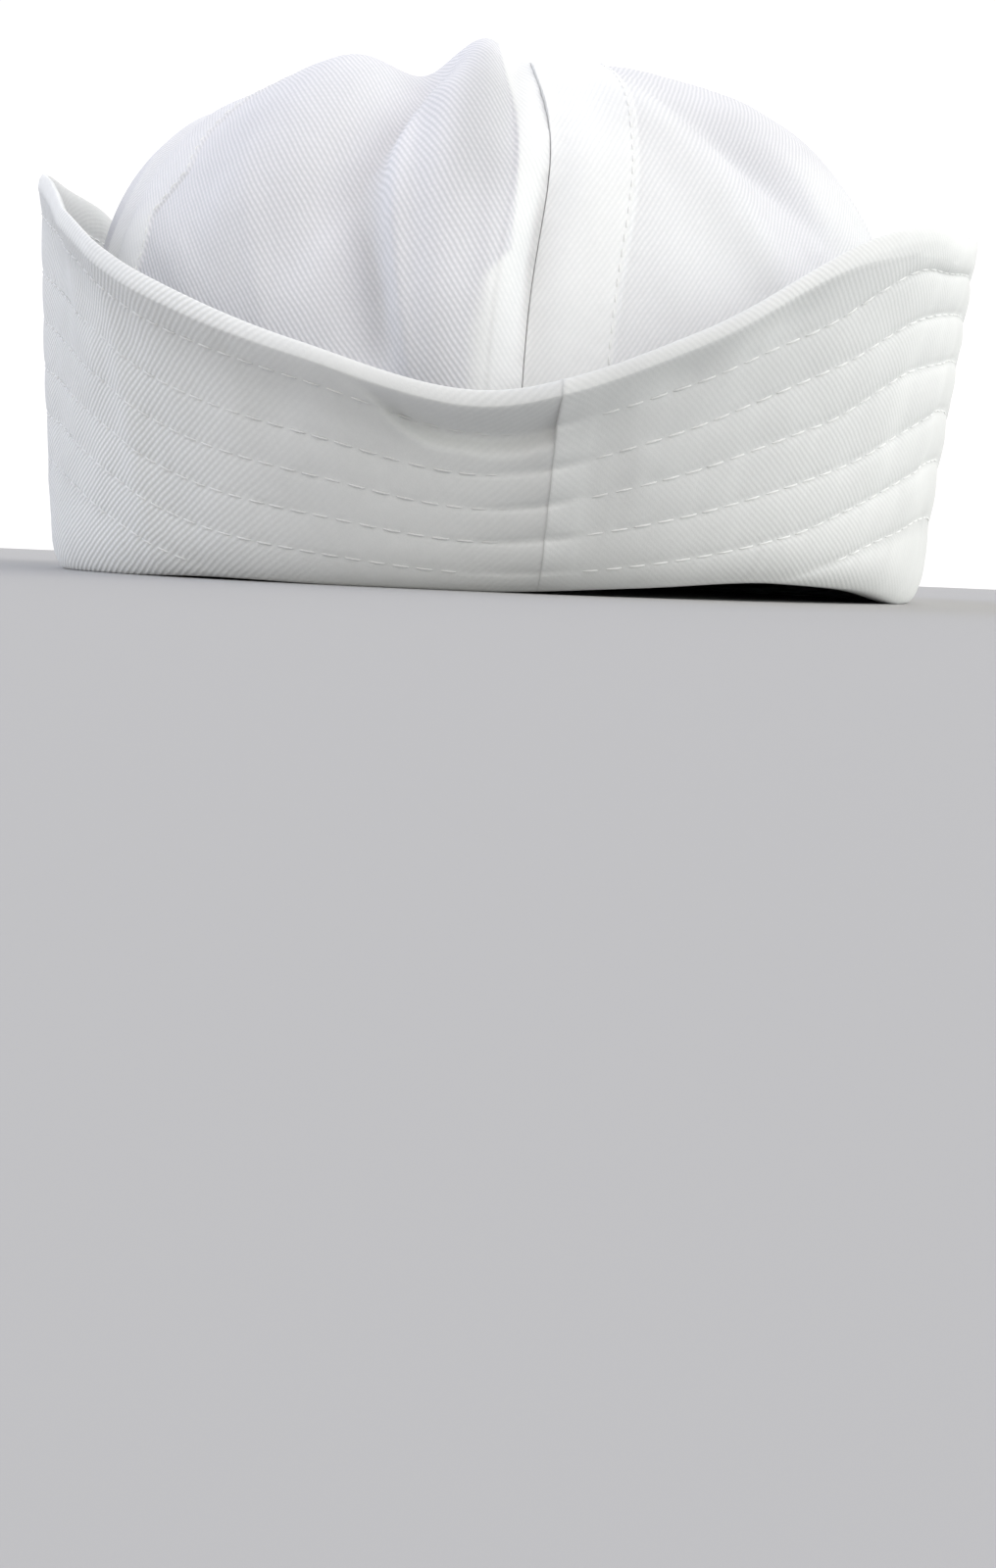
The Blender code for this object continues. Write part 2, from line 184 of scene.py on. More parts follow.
# Unevenness of the cloth: height, width and length in mm, and seed
CROWN_WRINKLES = ((0.32, 17, 22, 0), (0.17, 7, 9.5, 1))
BRIM_WRINKLES = ((0.45, 20, 26, 4), (0.27, 7.5, 9, 5))
BRIM_WRINKLE_GROWTH = (6 * MM, 25 * MM)  # heights over which the brim's grow
CROWN_DEGREE, BRIM_DEGREE = 1.6, 1.7  # mm of cloth for a degree of azimuth

# Height and reach of the puckers beside seams and topstitches, and of a topstitch's groove
SEAM_PUCKER, SEAM_PUCKER_REACH = 0.14 * MM, 2.6 * MM
TOPSTITCH_PUCKER, TOPSTITCH_PUCKER_REACH = 0.10 * MM, 2.2 * MM
TOPSTITCH_GROOVE, TOPSTITCH_GROOVE_WIDTH = 0.14 * MM, 0.9 * MM

CREASES = (  # sharp folds of the crown, as in FOLDS
    (-1.5, 0.16, -1.5, 0.36, 2, 0.5),
    (2.4, 0.25, 3.4, 0.34, 2.2, -3.4),
    (-7.8, 0.12, -13, 0.38, 1.8, 0.8),
    (-13.2, 0.38, -9.2, 0.52, 1.8, 0.8),
    (-8.6, 0.12, -15.5, 0.32, 4, -2.6),
    (-20, 0.33, -13.5, 0.52, 5, -2.2),
    (34, 0.28, 12, 0.62, 8, 0.5),
    (41, 0.365, 24, 0.51, 8.5, -2),
    (-25, 0.2, -30, 0.38, 3.2, 0.5),
    (-33, 0.22, -38, 0.34, 5, -0.5),
    (-31, 0.22, -48, 0.37, 6, -1.2),
    (-58, 0.1, -50, 0.24, 16, 0.8),
    (-76, 0.14, -70, 0.37, 15, -3.4),
)

# Climb, and how far the edge of the left front seam's strip strays there, mm
STRIP_SHIFTS = np.array((
    (0, 0.0), (0.3, 0.8), (0.335, 0.3), (0.362, -1.2), (0.39, 1.8), (0.415, 4.6),
    (0.44, 2.4), (0.48, 0.6), (0.54, 1.8), (0.64, 4.0), (0.75, 2.0), (0.9, 0.0),
))

# Painted shade on the crown's cloth: darker spots where it lies in shade, and one lighter spot of painted
# light
ShadeSpot = namedtuple("ShadeSpot", "azimuth climb half_width half_height change")
SHADE_SPOTS = (
    (-2.7, 0.46, 3.6, 0.13, -0.19),
    (-12.3, 0.4, 1.8, 0.07, 0.06),
    (-30, 0.18, 12, 0.06, -0.05),
    (-16, 0.235, 4, 0.05, -0.05),
    (-37, 0.43, 6, 0.05, -0.04),
    (29, 0.49, 9, 0.05, -0.06),
)

# Where the crown's cloth looks double: climb and reach of a pressed allowance, and width of its soft edge
ALLOWANCE_REACH = np.array(((0.2, 8.5), (0.26, 7.5), (0.29, 4.2), (0.36, 4.9), (0.45, 5.6)))
LAYER_EDGE, LOW_LAYER_EDGE = 0.5 * MM, 3.5 * MM
LOW_LAYER_CLIMBS = (0.22, 0.32)
LEFT_LAYER_LOSS, LEFT_LAYER_CLIMBS = 0.75, (0.34, 0.40)  # at the left front seam
PLAIN_LAYERS = 0.6  # away from the two front seams
LAYERS_CRISPNESS_LOSS = 0.65

# Painted light on the front right gore, lighter before one slanted line and past another: where it runs,
# how it turns back with climb, its softness before and after, and how much lighter it is, as a share of
# double cloth
Slant = namedtuple("Slant", "azimuth climb turn before after share")
FRONT_LIGHT_SLANT = Slant(34, 0.28, 70, 4, 3, 0.6)
SIDE_LIGHT_SLANT = Slant(40, 0.454, 40, 2.5, 2, 0.42)
SIDE_LIGHT_SLANT_TOP = (0.43, 0.49)

SEAM_SHADE, SEAM_SHADE_WIDTH = 0.15, 0.15 * MM

# How much closer mesh points stand at seams and at the edges of strips and allowances
SEAM_CROWDING, SEAM_CROWDING_REACH = 9, 0.6 * MM
STRIP_CROWDING, ALLOWANCE_CROWDING, EDGE_CROWDING_REACH = 1.6, 1.2, 1.6 * MM

BRIM_STATIONS = 420
CLOTH_CONE = np.radians(22)  # lean of the cone that the brim's cloth is laid flat from
CHANNEL_STEPS, INNER_STEPS, EDGE_STEPS = 10, 5, 16
EDGE_BULGE = 0.15 * MM  # how far the folded edge stands over the face
EDGE_LEAN, PLAIN_EDGE_LEAN = 0.35, 0.9  # share of the face's slope that the edge keeps

# Roundness of the edge at the front, where it is plain, and where it is full on both sides, with degrees to
# the right and left over which it gets so
EDGE_POWER, PLAIN_EDGE_POWER, FULL_EDGE_POWER = 1.5, 1.0, 0.65
PLAIN_EDGE_SPANS = ((26, 40), (64, 96))
FULL_EDGE_SPANS = ((58, 76), (60, 92))

QUILT_ROUNDNESS = 0.62
FIRST_CHANNEL_GROWTH = (0.2, 0.9)  # over which the lowest channel's relief grows
QUILT_PUCKER, QUILT_PUCKER_REACH = 0.12 * MM, 2.0 * MM
QUILT_PUCKERS = ((1, 2.6, 3.7, 6), (0.7, 1.5, 5.1, 7))  # share, width, step by row, seed
INNER_CHANNELS = 10  # number of the first inner channel
INNER_PUFF = 0.5 * MM
INNER_PUFF_RISE, INNER_PUFF_DEPTH = 3 * MM, 4 * MM  # full over the fold and under the edge
CURL_HEIGHT = 13 * MM  # top stretch of the face that curls finely
BRIM_RIDGE = 0.7 * MM  # of the cloth at the brim's seams
BRIM_RIDGE_WIDTH, BRIM_RIDGE_GROWTH = 4 * MM, 4 * MM
BRIM_ALLOWANCE, BRIM_ALLOWANCE_HEIGHT = 5.0 * MM, 0.12 * MM
BRIM_SEAM_FOLD, BRIM_SEAM_DEPTH = 0.35 * MM, 0.04 * MM
SEAM_OVERLAP = 0.08  # degrees that each half runs past a seam

# Rolled edge's half height, curl of the face, depth of the front left's crease, and puff of the quilting
BrimLook = namedtuple("BrimLook", "azimuth roll curl crease puff")
BRIM_LOOKS = (
    (-180, 2.4, 1, 7, 0.6),
    (-90, 2.6, 0.2, 7, 0.4),
    (-76, 3, 0.5, 7, 0.36),
    (-66, 3.2, 1.2, 7, 0.3),
    (-56, 3.3, 2.4, 7, 0.26),
    (-35, 3.3, 3.4, 7, 0.26),
    (-25, 2.9, 2.6, 7, 0.24),
    (-16, 2.3, 1.7, 7, 0.22),
    (-10, 2.3, 1, 3.6, 0.22),
    (-8, 2.3, 0.9, 6, 0.22),
    (-6, 2.3, 0.8, 7.6, 0.24),
    (-2, 2.4, 0.6, 8.2, 0.32),
    (2, 2.4, 0.6, 8.7, 0.7),
    (5, 2.3, 0.6, 8.5, 0.9),
    (8, 2.3, 1, 8, 0.3),
    (15, 2.3, 1.6, 7, 0.35),
    (25, 2.6, 2.3, 7, 0.5),
    (32, 4, 1.8, 7, 0.7),
    (38, 4.5, 1, 7, 0.9),
    (45, 4.2, 0.6, 7, 1.1),
    (55, 4.4, 0.4, 7, 1.05),
    (68, 4, 0.2, 7, 0.7),
    (90, 2.4, 0.2, 7, 0.4),
)
CREASE_START, CREASE_END = -10.5, 5  # azimuths
CREASE_GROWTH = 3.5  # degrees
CREASE_EASING, CREASE_LOSS = 3, 0.35  # degrees before its end, and share that it loses there
HOLLOW_DEPTH = 2.8 * MM  # between the folded edge and the crease
HOLLOW_BOTTOM, HOLLOW_END = 0.6, 1.1  # shares of the way down to the crease
LEAST_HOLLOW = 0.5 * MM
INNER_HOLLOW = 0.3  # share of the hollow that shows inside
CRISPNESS = (  # azimuth, and how clearly the brim's weave shows there
    (-180, 0.5), (-75, 0.8), (-50, 1.2), (-35, 0.95), (-25, 0.5), (-16, 0.1), (-8, 0.0),
    (0, 0.15), (8, 0.08), (14, 0.08), (21, 0.16), (30, 0.27), (42, 0.25), (50, 0.12), (75, 0.15),
)
# Painted shade on the brim's stitches, darker from the left round the front where they lie in the shade of
# the puckers
THREAD_SHADE = (  # azimuth, and how bright the brim's stitches are there
    (-180, 0.95), (-60, 0.95), (-35, 0.88), (-16, 0.8), (5, 0.8), (14, 0.92), (25, 1.0), (90, 1.0),
)

# Painted light and shade on the brim: a highlight on the rolled edge, more so to the left, with a shade
# under it that fades to the right; depths are in mm, and patches of painted shade and light are azimuth,
# half width and change
ROLL_HIGHLIGHT, LEFT_ROLL_HIGHLIGHT, LEFT_ROLL = 0.06, 0.08, (8, 22)
ROLL_DEPTH, ROLL_FADING = 3.2, 1.2
EDGE_SHADE, EDGE_SHADE_FADING = 0.10, (-12, 24)
EDGE_SHADE_DEPTH, EDGE_SHADE_WIDTH = 6, 3.5
BRIM_SEAM_SHADE, BRIM_SEAM_SHADE_WIDTH = 0.05, 0.25 * MM
LIGHT_AND_SHADE_PATCHES = ((8, 9, -0.09), (45, 18, 0.08))

# How much clearer the weave is on the rolled edge, less so away from the front
ROLL_CLEARER, SIDE_ROLL_LOSS, SIDE_ROLL = 0.9, 1.4, (20, 36)
CLEARER_DEPTH, CLEARER_FADING = 4, 1.5

INNER_SIDE = 3  # corners of the section from its top
# Painted shade over the brim's inner side, and how clearly its weave shows there
INNER_SHADE, INNER_CRISPNESS = 0.80, 0.5

# Soft dents of the brim, in degrees and mm under its edge
Dent = namedtuple("Dent", "azimuth down half_width half_height depth")
DENTS = (
    (14.5, 4.8, 4.5, 2.6, 1.4),
    (23, 5, 4.5, 2.6, 1.1),
    (-37.5, 26, 3.5, 24, -0.6),
    (-31, 30, 6, 20, 0.5),
    (43, 26, 4, 16, 0.7),
    (50, 30, 4, 20, -1),
)


def direction(azimuth):
    angle = np.radians(azimuth)
    return np.stack((np.sin(angle), -np.cos(angle)), axis=-1)


def oval_radius(azimuth, half_width, half_length):
    across, along = np.moveaxis(direction(azimuth), -1, 0)
    return 1 / np.hypot(across / half_width, along / half_length)


def ease(value, start, end):
    """Smooth step from 0 at start to 1 at end."""
    share = np.clip((value - start) / (end - start), 0, 1)
    return share * share * (3 - 2 * share)


def plateau(value, start, full, fading, end):
    return ease(value, start, full) * (1 - ease(value, fading, end))


def bell(value, width):
    return np.exp(-(value / width) ** 2)


def sharp_bell(value, width):
    return np.exp(1 - np.sqrt(1 + 4 * (value / width) ** 2))


def unit(vectors):
    return vectors / np.linalg.norm(vectors, axis=-1, keepdims=True)


def signed_turn(angle):
    return (angle + 180) % 360 - 180


def read_around(places, values, azimuth):
    """A smooth curve around the cap through values at places, read at azimuths."""
    places = np.concatenate((places - 360, places, places + 360))
    values = np.tile(values, 3)
    slopes = np.gradient(values, places)
    place = signed_turn(azimuth)
    left = np.clip(np.searchsorted(places, place) - 1, 0, len(places) - 2)
    step = places[left + 1] - places[left]
    share = (place - places[left]) / step
    rise = share * share * (3 - 2 * share)
    return (
        values[left] * (1 - rise) + values[left + 1] * rise
        + step * slopes[left] * share * (1 - share) ** 2
        - step * slopes[left + 1] * share ** 2 * (1 - share)
    )


def read_table(table, azimuth):
    """Columns of a table whose first one is azimuth, read at azimuths."""
    places, *columns = np.array(table, float).T
    return [read_around(places, column, azimuth) for column in columns]


LATTICES = [np.random.default_rng(seed).uniform(-1, 1, (64, 64)) for seed in range(12)]


def noise(x, y, seed):
    """Smooth noise between -1 and 1 with cells one unit wide."""
    table = LATTICES[seed]
    size = len(table)
    x0, y0 = np.floor(x).astype(int), np.floor(y).astype(int)
    u, v = x - x0, y - y0
    u, v = u * u * (3 - 2 * u), v * v * (3 - 2 * v)
    x0, y0, x1, y1 = x0 % size, y0 % size, (x0 + 1) % size, (y0 + 1) % size
    low = table[x0, y0] * (1 - u) + table[x1, y0] * u
    high = table[x0, y1] * (1 - u) + table[x1, y1] * u
    return low * (1 - v) + high * v


def wrinkles(x, y, table):
    return sum(height * noise(x / width, y / length, seed) for height, width, length, seed in table)


def edge_step(inside):
    return ease(inside, -STRIP_EDGE / 2, STRIP_EDGE / 2)


def seam_crowding(away):
    return SEAM_CROWDING * np.exp(-(away / SEAM_CROWDING_REACH) ** 1.5)


# ---------------- meshes

def add_mesh(name, points, quads, material, attributes=(), caps=()):
    points = points.reshape(-1, 3)
    mesh = bpy.data.meshes.new(name)
    mesh.vertices.add(len(points))
    mesh.vertices.foreach_set("co", np.ascontiguousarray(points, np.float32).ravel())
    corners = np.concatenate((quads.ravel(), *caps)).astype(np.int32)
    sizes = np.array([quads.shape[1]] * len(quads) + [len(cap) for cap in caps])
    mesh.loops.add(len(corners))
    mesh.loops.foreach_set("vertex_index", corners)
    mesh.polygons.add(len(sizes))
    mesh.polygons.foreach_set("loop_start", (np.cumsum(sizes) - sizes).astype(np.int32))
    mesh.update(calc_edges=True)
    mesh.validate()
    mesh.shade_smooth()
    for face in range(len(quads), len(sizes)):
        mesh.polygons[face].use_smooth = False
    for key, values in dict(attributes).items():
        kind, field = ("FLOAT", "value") if values.size == len(points) else ("FLOAT_VECTOR", "vector")
        layer = mesh.attributes.new(key, kind, "POINT")
        layer.data.foreach_set(field, np.ascontiguousarray(values, np.float32).ravel())
    mesh.materials.append(material)
    piece = bpy.data.objects.new(name, mesh)
    bpy.context.scene.collection.objects.link(piece)
    return piece


def grid_quads(rows, columns):
    here = (np.arange(rows - 1)[:, None] * columns + np.arange(columns - 1)).ravel()
    return np.stack((here, here + 1, here + 1 + columns, here + columns), axis=1)


def shell_quads(rows, columns):
    """Faces of an outer and an inner grid, joined along their borders."""
    outer = grid_quads(rows, columns)
    under = rows * columns
    border = [(0, c) for c in range(columns)] + [(r, columns - 1) for r in range(1, rows)]
    border += [(rows - 1, c) for c in range(columns - 2, -1, -1)]
    border += [(r, 0) for r in range(rows - 2, 0, -1)]
    ring = np.array([r * columns + c for r, c in border])
    beside = np.roll(ring, -1)
    rim = np.stack((beside, ring, ring + under, beside + under), axis=1)
    return np.concatenate((outer, outer[:, ::-1] + under, rim))


# ---------------- materials

class Nodes:
    """Short calls for building a node tree."""

    def __init__(self, tree):
        self.tree = tree
        tree.nodes.clear()

    def add(self, kind, inputs=(), **settings):
        node = self.tree.nodes.new(kind)
        for key, value in settings.items():
            setattr(node, key, value)
        for place, value in dict(inputs).items():
            if isinstance(value, bpy.types.NodeSocket):
                self.tree.links.new(value, node.inputs[place])
            else:
                node.inputs[place].default_value = value
        return node

    def math(self, operation, *values):
        return self.add("ShaderNodeMath", dict(enumerate(values)), operation=operation).outputs[0]

    def mix(self, share, low, high):
        return self.add("ShaderNodeMix", {0: share, 6: low, 7: high}, data_type="RGBA").outputs[2]

    def vector(self, operation, first, second):
        place = "Scale" if operation == "SCALE" else 1
        node = self.add("ShaderNodeVectorMath", {0: first, place: second}, operation=operation)
        return node.outputs["Value" if operation == "DOT_PRODUCT" else "Vector"]

    def wave(self, value):
        """Between 0 and 1, once for each unit of value."""
        sine = self.math("SINE", self.math("MULTIPLY", value, 2 * np.pi))
        return self.math("MULTIPLY_ADD", sine, 0.5, 0.5)

    def noise(self, vector, scale, detail=2.0, roughness=0.5):
        settings = {"Vector": vector, "Scale": scale, "Detail": detail, "Roughness": roughness}
        return self.add("ShaderNodeTexNoise", settings).outputs["Fac"]

    def attribute(self, name, output="Fac"):
        return self.add("ShaderNodeAttribute", attribute_name=name).outputs[output]

    def cloth_shader(self, colour, rough, height, strength, depth, specular):
        """Principled shader with a little sheen and its surface raised by height."""
        lift = self.add("ShaderNodeBump", {"Strength": strength, "Distance": depth, "Height": height})
        shader = self.add("ShaderNodeBsdfPrincipled", {
            "Base Color": colour, "Roughness": rough, "Normal": lift.outputs[0],
            "Specular IOR Level": specular, "Sheen Weight": 0.2, "Sheen Roughness": 0.5,
        })
        self.add("ShaderNodeOutputMaterial", {0: shader.outputs[0]})


def new_material(name):
    material = bpy.data.materials.new(name)
    material.use_nodes = True
    return material, Nodes(material.node_tree)


FLOAT_LENGTH = 1.15  # mm along a twill line
FLOAT_STEP = 0.37  # from one line to the next
MEAN_WEAVE = 0.42  # which the weave fades to


def twill_material(name, pitch, light, dark, thin, bump):
    """Cotton twill. Its attribute cloth gives millimetres across and along the twill lines, tone its
    painted light and shade, crisp how clearly its weave shows, and layers is 0 where it is thin and 1 where
    it is double; it is also raised where light is painted on the front right gore."""
    material, nodes = new_material(name)
    cloth = nodes.attribute("cloth", "Vector")
    split = nodes.add("ShaderNodeSeparateXYZ", {0: cloth})
    across, along = split.outputs[0], split.outputs[1]

    # Twill lines, a little uneven, each made of floats that step along it
    drift = nodes.math("MULTIPLY_ADD", nodes.noise(cloth, scale=0.12), 0.7, -0.35)
    line = nodes.math("DIVIDE", nodes.math("ADD", across, drift), pitch)
    number = nodes.math("FLOOR", nodes.math("ADD", line, 0.25))
    step = nodes.math("MULTIPLY_ADD", number, FLOAT_STEP, nodes.math("DIVIDE", along, FLOAT_LENGTH))
    floats = nodes.math("MULTIPLY_ADD", nodes.wave(step), 0.3, 0.7)
    weave = nodes.math("MULTIPLY", nodes.wave(line), floats)
    fibres = nodes.noise(cloth, scale=3.5, roughness=0.6)
    patches = nodes.noise(cloth, scale=0.06, detail=3.0, roughness=0.55)
    slubs = nodes.noise(cloth, scale=0.7, roughness=0.6)

    mixing = nodes.math("MULTIPLY_ADD", fibres, 0.25, nodes.math("MULTIPLY_ADD", slubs, 0.25, -0.25))
    from_mean = nodes.math("SUBTRACT", weave, MEAN_WEAVE)
    crisp_weave = nodes.math("MULTIPLY_ADD", from_mean, nodes.attribute("crisp"), MEAN_WEAVE)
    share = nodes.math("ADD", crisp_weave, mixing)
    share.node.use_clamp = True
    colour = nodes.mix(share, dark, light)
    # lighter where the cloth lies double, and painted light on parts of the front right gore
    colour = nodes.mix(nodes.attribute("layers_and_light"), nodes.vector("MULTIPLY", colour, thin), colour)
    shade = nodes.math("MULTIPLY_ADD", patches, 0.12, 0.94)
    colour = nodes.vector("MULTIPLY", colour, nodes.math("MULTIPLY", shade, nodes.attribute("tone")))

    height = nodes.math("MULTIPLY_ADD", fibres, 0.3, crisp_weave)
    rough = nodes.math("MULTIPLY_ADD", weave, -0.12, 0.92)
    nodes.cloth_shader(colour, rough, height, strength=1.0, depth=bump, specular=0.25)
    return material


def thread_material(name, colour):
    """Sewing thread with a slight twist, darker where its attribute tone is low."""
    material, nodes = new_material(name)
    place = nodes.add("ShaderNodeTexCoord").outputs["Object"]
    fibres = nodes.noise(place, scale=2500.0)
    dark = tuple(0.86 * c for c in colour[:3]) + (1,)
    mixed = nodes.vector("SCALE", nodes.mix(fibres, dark, colour), nodes.attribute("tone"))
    rough = nodes.math("MULTIPLY_ADD", fibres, 0.2, 0.55)
    nodes.cloth_shader(mixed, rough, fibres, strength=0.5, depth=0.05 * MM, specular=0.3)
    return material


CROWN_TWILL = twill_material(
    "crown_twill", pitch=0.77, light=(0.99, 0.995, 0.99, 1), dark=(0.785, 0.805, 0.805, 1),
    thin=(0.85, 0.845, 0.88), bump=0.065 * MM)
BRIM_TWILL = twill_material(
    "brim_twill", pitch=0.93, light=(0.86, 0.87, 0.86, 1), dark=(0.66, 0.675, 0.67, 1),
    thin=(1, 1, 1), bump=0.10 * MM)
THREAD = thread_material("stitch_thread", (0.93, 0.94, 0.93, 1))


def lay_twill(across, up, angle):
    """Cloth coordinates in millimetres, turned so that the first runs across lines at an angle."""
    turn = np.radians(angle)
    return np.stack((
        (across * np.sin(turn) - up * np.cos(turn)) / MM,
        (across * np.cos(turn) + up * np.sin(turn)) / MM,
        np.zeros_like(across),
    ), axis=-1)


# ---------------- crown

def crown_profile():
    turn = np.linspace(0, np.pi / 2, PROFILE_STEPS + 1)
    radius = np.clip(np.cos(turn), 0, 1) ** (2 / SIDE_ROUNDNESS)
    height = np.sin(turn) ** (2 / TOP_ROUNDNESS)
    run = np.diff(radius) * CROWN_HALF_WIDTH
    rise = np.diff(height) * (CROWN_HEIGHT - CROWN_HEM)
    climb = np.concatenate(((0,), np.cumsum(np.hypot(run, rise))))
    return climb / climb[-1], radius, height, climb[-1]


PROFILE_CLIMB, PROFILE_RADIUS, PROFILE_HEIGHT, PROFILE_LENGTH = crown_profile()


def dome_radius(azimuth, climb):
    share = np.interp(climb, PROFILE_CLIMB, PROFILE_RADIUS)
    return share * oval_radius(azimuth, CROWN_HALF_WIDTH, CROWN_HALF_LENGTH)


def dome_point(azimuth, climb):
    share = np.interp(climb, PROFILE_CLIMB, PROFILE_HEIGHT)
    radius = dome_radius(azimuth, climb)
    flat = radius[..., None] * direction(azimuth) + APEX_SHIFT * (share ** APEX_SHIFT_POWER)[..., None]
    height = CROWN_HEM + (CROWN_HEIGHT - CROWN_HEM) * share
    return np.concatenate((flat, height[..., None]), axis=-1)


def seam_azimuth(number, climb):
    sway = GORES[number % len(GORES)].sway * bell(climb - SWAY_CLIMB, SWAY_STRETCH)
    return FIRST_SEAM + GORE_ANGLE * number + sway


def from_nearest_seam(azimuth, climb):
    seams = [seam_azimuth(number, climb) for number in range(len(GORES))]
    offsets = np.stack([signed_turn(azimuth - seam) for seam in seams])
    nearest = np.abs(offsets).argmin(axis=0)
    return np.take_along_axis(offsets, nearest[None], axis=0)[0]


def fold_run(fold, azimuth, climb, girth):
    """Distance across a fold, and its height."""
    along = (climb - fold.low_climb) / (fold.high_climb - fold.low_climb)
    middle = fold.low_azimuth + (fold.high_azimuth - fold.low_azimuth) * along
    ends = (end + step for end in (fold.low_climb, fold.high_climb) for step in (-FOLD_END, FOLD_END))
    return signed_turn(azimuth - middle) * girth, fold.rise * MM * plateau(climb, *ends)


def strip_shift(azimuth, climb):
    """How far a facing strip's edge strays, only at the left front seam."""
    side = signed_turn(azimuth)
    at_seam = (side > FIRST_SEAM - GORE_ANGLE - 5) & (side < FIRST_SEAM - GORE_ANGLE / 2)
    return np.interp(climb, *STRIP_SHIFTS.T) * MM * at_seam


def crown_rise(azimuth, climb):
    """How far the cloth stands over the plain dome, and the distance beside the nearest seam."""
    girth = np.radians(1) * dome_radius(azimuth, climb)
    rise = np.zeros_like(girth)
    for table, shape in ((FOLDS, bell), (CREASES, sharp_bell)):
        for fold in (Fold(*row) for row in table):
            across, height = fold_run(fold, azimuth, climb, girth)
            rise += height * shape(across, fold.half_width * MM)
    beside = from_nearest_seam(azimuth, climb) * girth
    rise -= SEAM_DEPTH * bell(beside, SEAM_HALF_WIDTH)
    at_front = plateau(climb, *FRONT_CLIMBS) * (np.abs(signed_turn(azimuth)) < GORE_ANGLE / 2)
    rise += FRONT_EDGE_RISE * at_front * sharp_bell(beside + ALLOWANCE, FRONT_EDGE_WIDTH)
    rise += FRONT_LAP * at_front * (beside > 0) * np.exp(-beside / FRONT_EDGE_WIDTH)

    # Wrinkles of the cloth, puckers that the seams and topstitches draw, and the turn into each seam
    x, y = azimuth * CROWN_DEGREE, climb * PROFILE_LENGTH / MM
    rise += wrinkles(x, y, CROWN_WRINKLES) * MM
    seam_row = np.round(azimuth / GORE_ANGLE) * 7.3
    pucker = noise(seam_row, y / 2.4, 2) + 0.6 * noise(x / 3, y / 1.7, 3)
    shift = strip_shift(azimuth, climb)
    at_stitch = np.abs(beside - TOPSTITCH_AT - shift)
    rise += SEAM_PUCKER * pucker * np.exp(-np.abs(beside) / SEAM_PUCKER_REACH)
    rise += TOPSTITCH_PUCKER * pucker * np.exp(-at_stitch / TOPSTITCH_PUCKER_REACH)
    rise -= TOPSTITCH_GROOVE * bell(at_stitch, TOPSTITCH_GROOVE_WIDTH)
    rise *= plateau(climb, 0, HEM_STRETCH, TIP_STRETCH, 1)
    on_strip = edge_step(STRIP_WIDTH + shift - beside) * (beside > 0)
    on_allowance = edge_step(ALLOWANCE + beside) * (beside < 0)
    turned = np.clip(1 - np.abs(beside) / SEAM_FOLD, 0, 1)
    turn_in = SEAM_FOLD * (1 - np.sqrt(1 - turned ** 2))
    return rise + STRIP_HEIGHT * on_strip + ALLOWANCE_HEIGHT * on_allowance - turn_in, beside


def dome_normal(azimuth, climb):
    low = np.clip(climb - NORMAL_STEP, 0, 1)
    high = np.clip(climb + NORMAL_STEP, 0, 1)
    upwards = dome_point(azimuth, high) - dome_point(azimuth, low)
    around = dome_point(azimuth + NORMAL_STEP, climb) - dome_point(azimuth - NORMAL_STEP, climb)
    return unit(np.cross(around, upwards))


def gore_grid(number, columns, rows):
    """Azimuth and climb of a gore's points, closer together at its seams."""
    tip = np.interp(-TIP_RADIUS / CROWN_HALF_WIDTH, -PROFILE_RADIUS, PROFILE_CLIMB)
    climbs = np.linspace(0, tip, rows)
    start, end = seam_azimuth(number, climbs), seam_azimuth(number + 1, climbs)
    width = np.radians(end - start) * dome_radius(start, climbs)
    shares = np.linspace(0, 1, 2000)
    azimuths = np.empty((rows, columns))
    for row in range(rows):
        place = shares * width[row]
        far = width[row] - place
        density = 1 + seam_crowding(place) + seam_crowding(far)
        strip_edge = STRIP_WIDTH + strip_shift(start[row] + GORE_ANGLE / 4, climbs[row])
        density += STRIP_CROWDING * bell(place - strip_edge, EDGE_CROWDING_REACH)
        density += ALLOWANCE_CROWDING * bell(far - ALLOWANCE, EDGE_CROWDING_REACH)
        total = np.concatenate(((0,), np.cumsum((density[1:] + density[:-1]) / 2)))
        picked = np.interp(np.linspace(0, total[-1], columns), total, shares)
        azimuths[row] = start[row] + (end[row] - start[row]) * picked
    return azimuths, np.repeat(climbs[:, None], columns, axis=1)


def crown_surface(azimuths, climbs):
    rise, beside = crown_rise(azimuths, climbs)
    normals = dome_normal(azimuths, climbs)
    points = dome_point(azimuths, climbs) + normals * rise[..., None]
    points[..., :2] += CAP_CENTRE
    return points, normals, beside


def past_slant(slant, azimuths, climbs):
    turned = azimuths - slant.azimuth + slant.turn * (climbs - slant.climb)
    return ease(turned, -slant.before, slant.after)


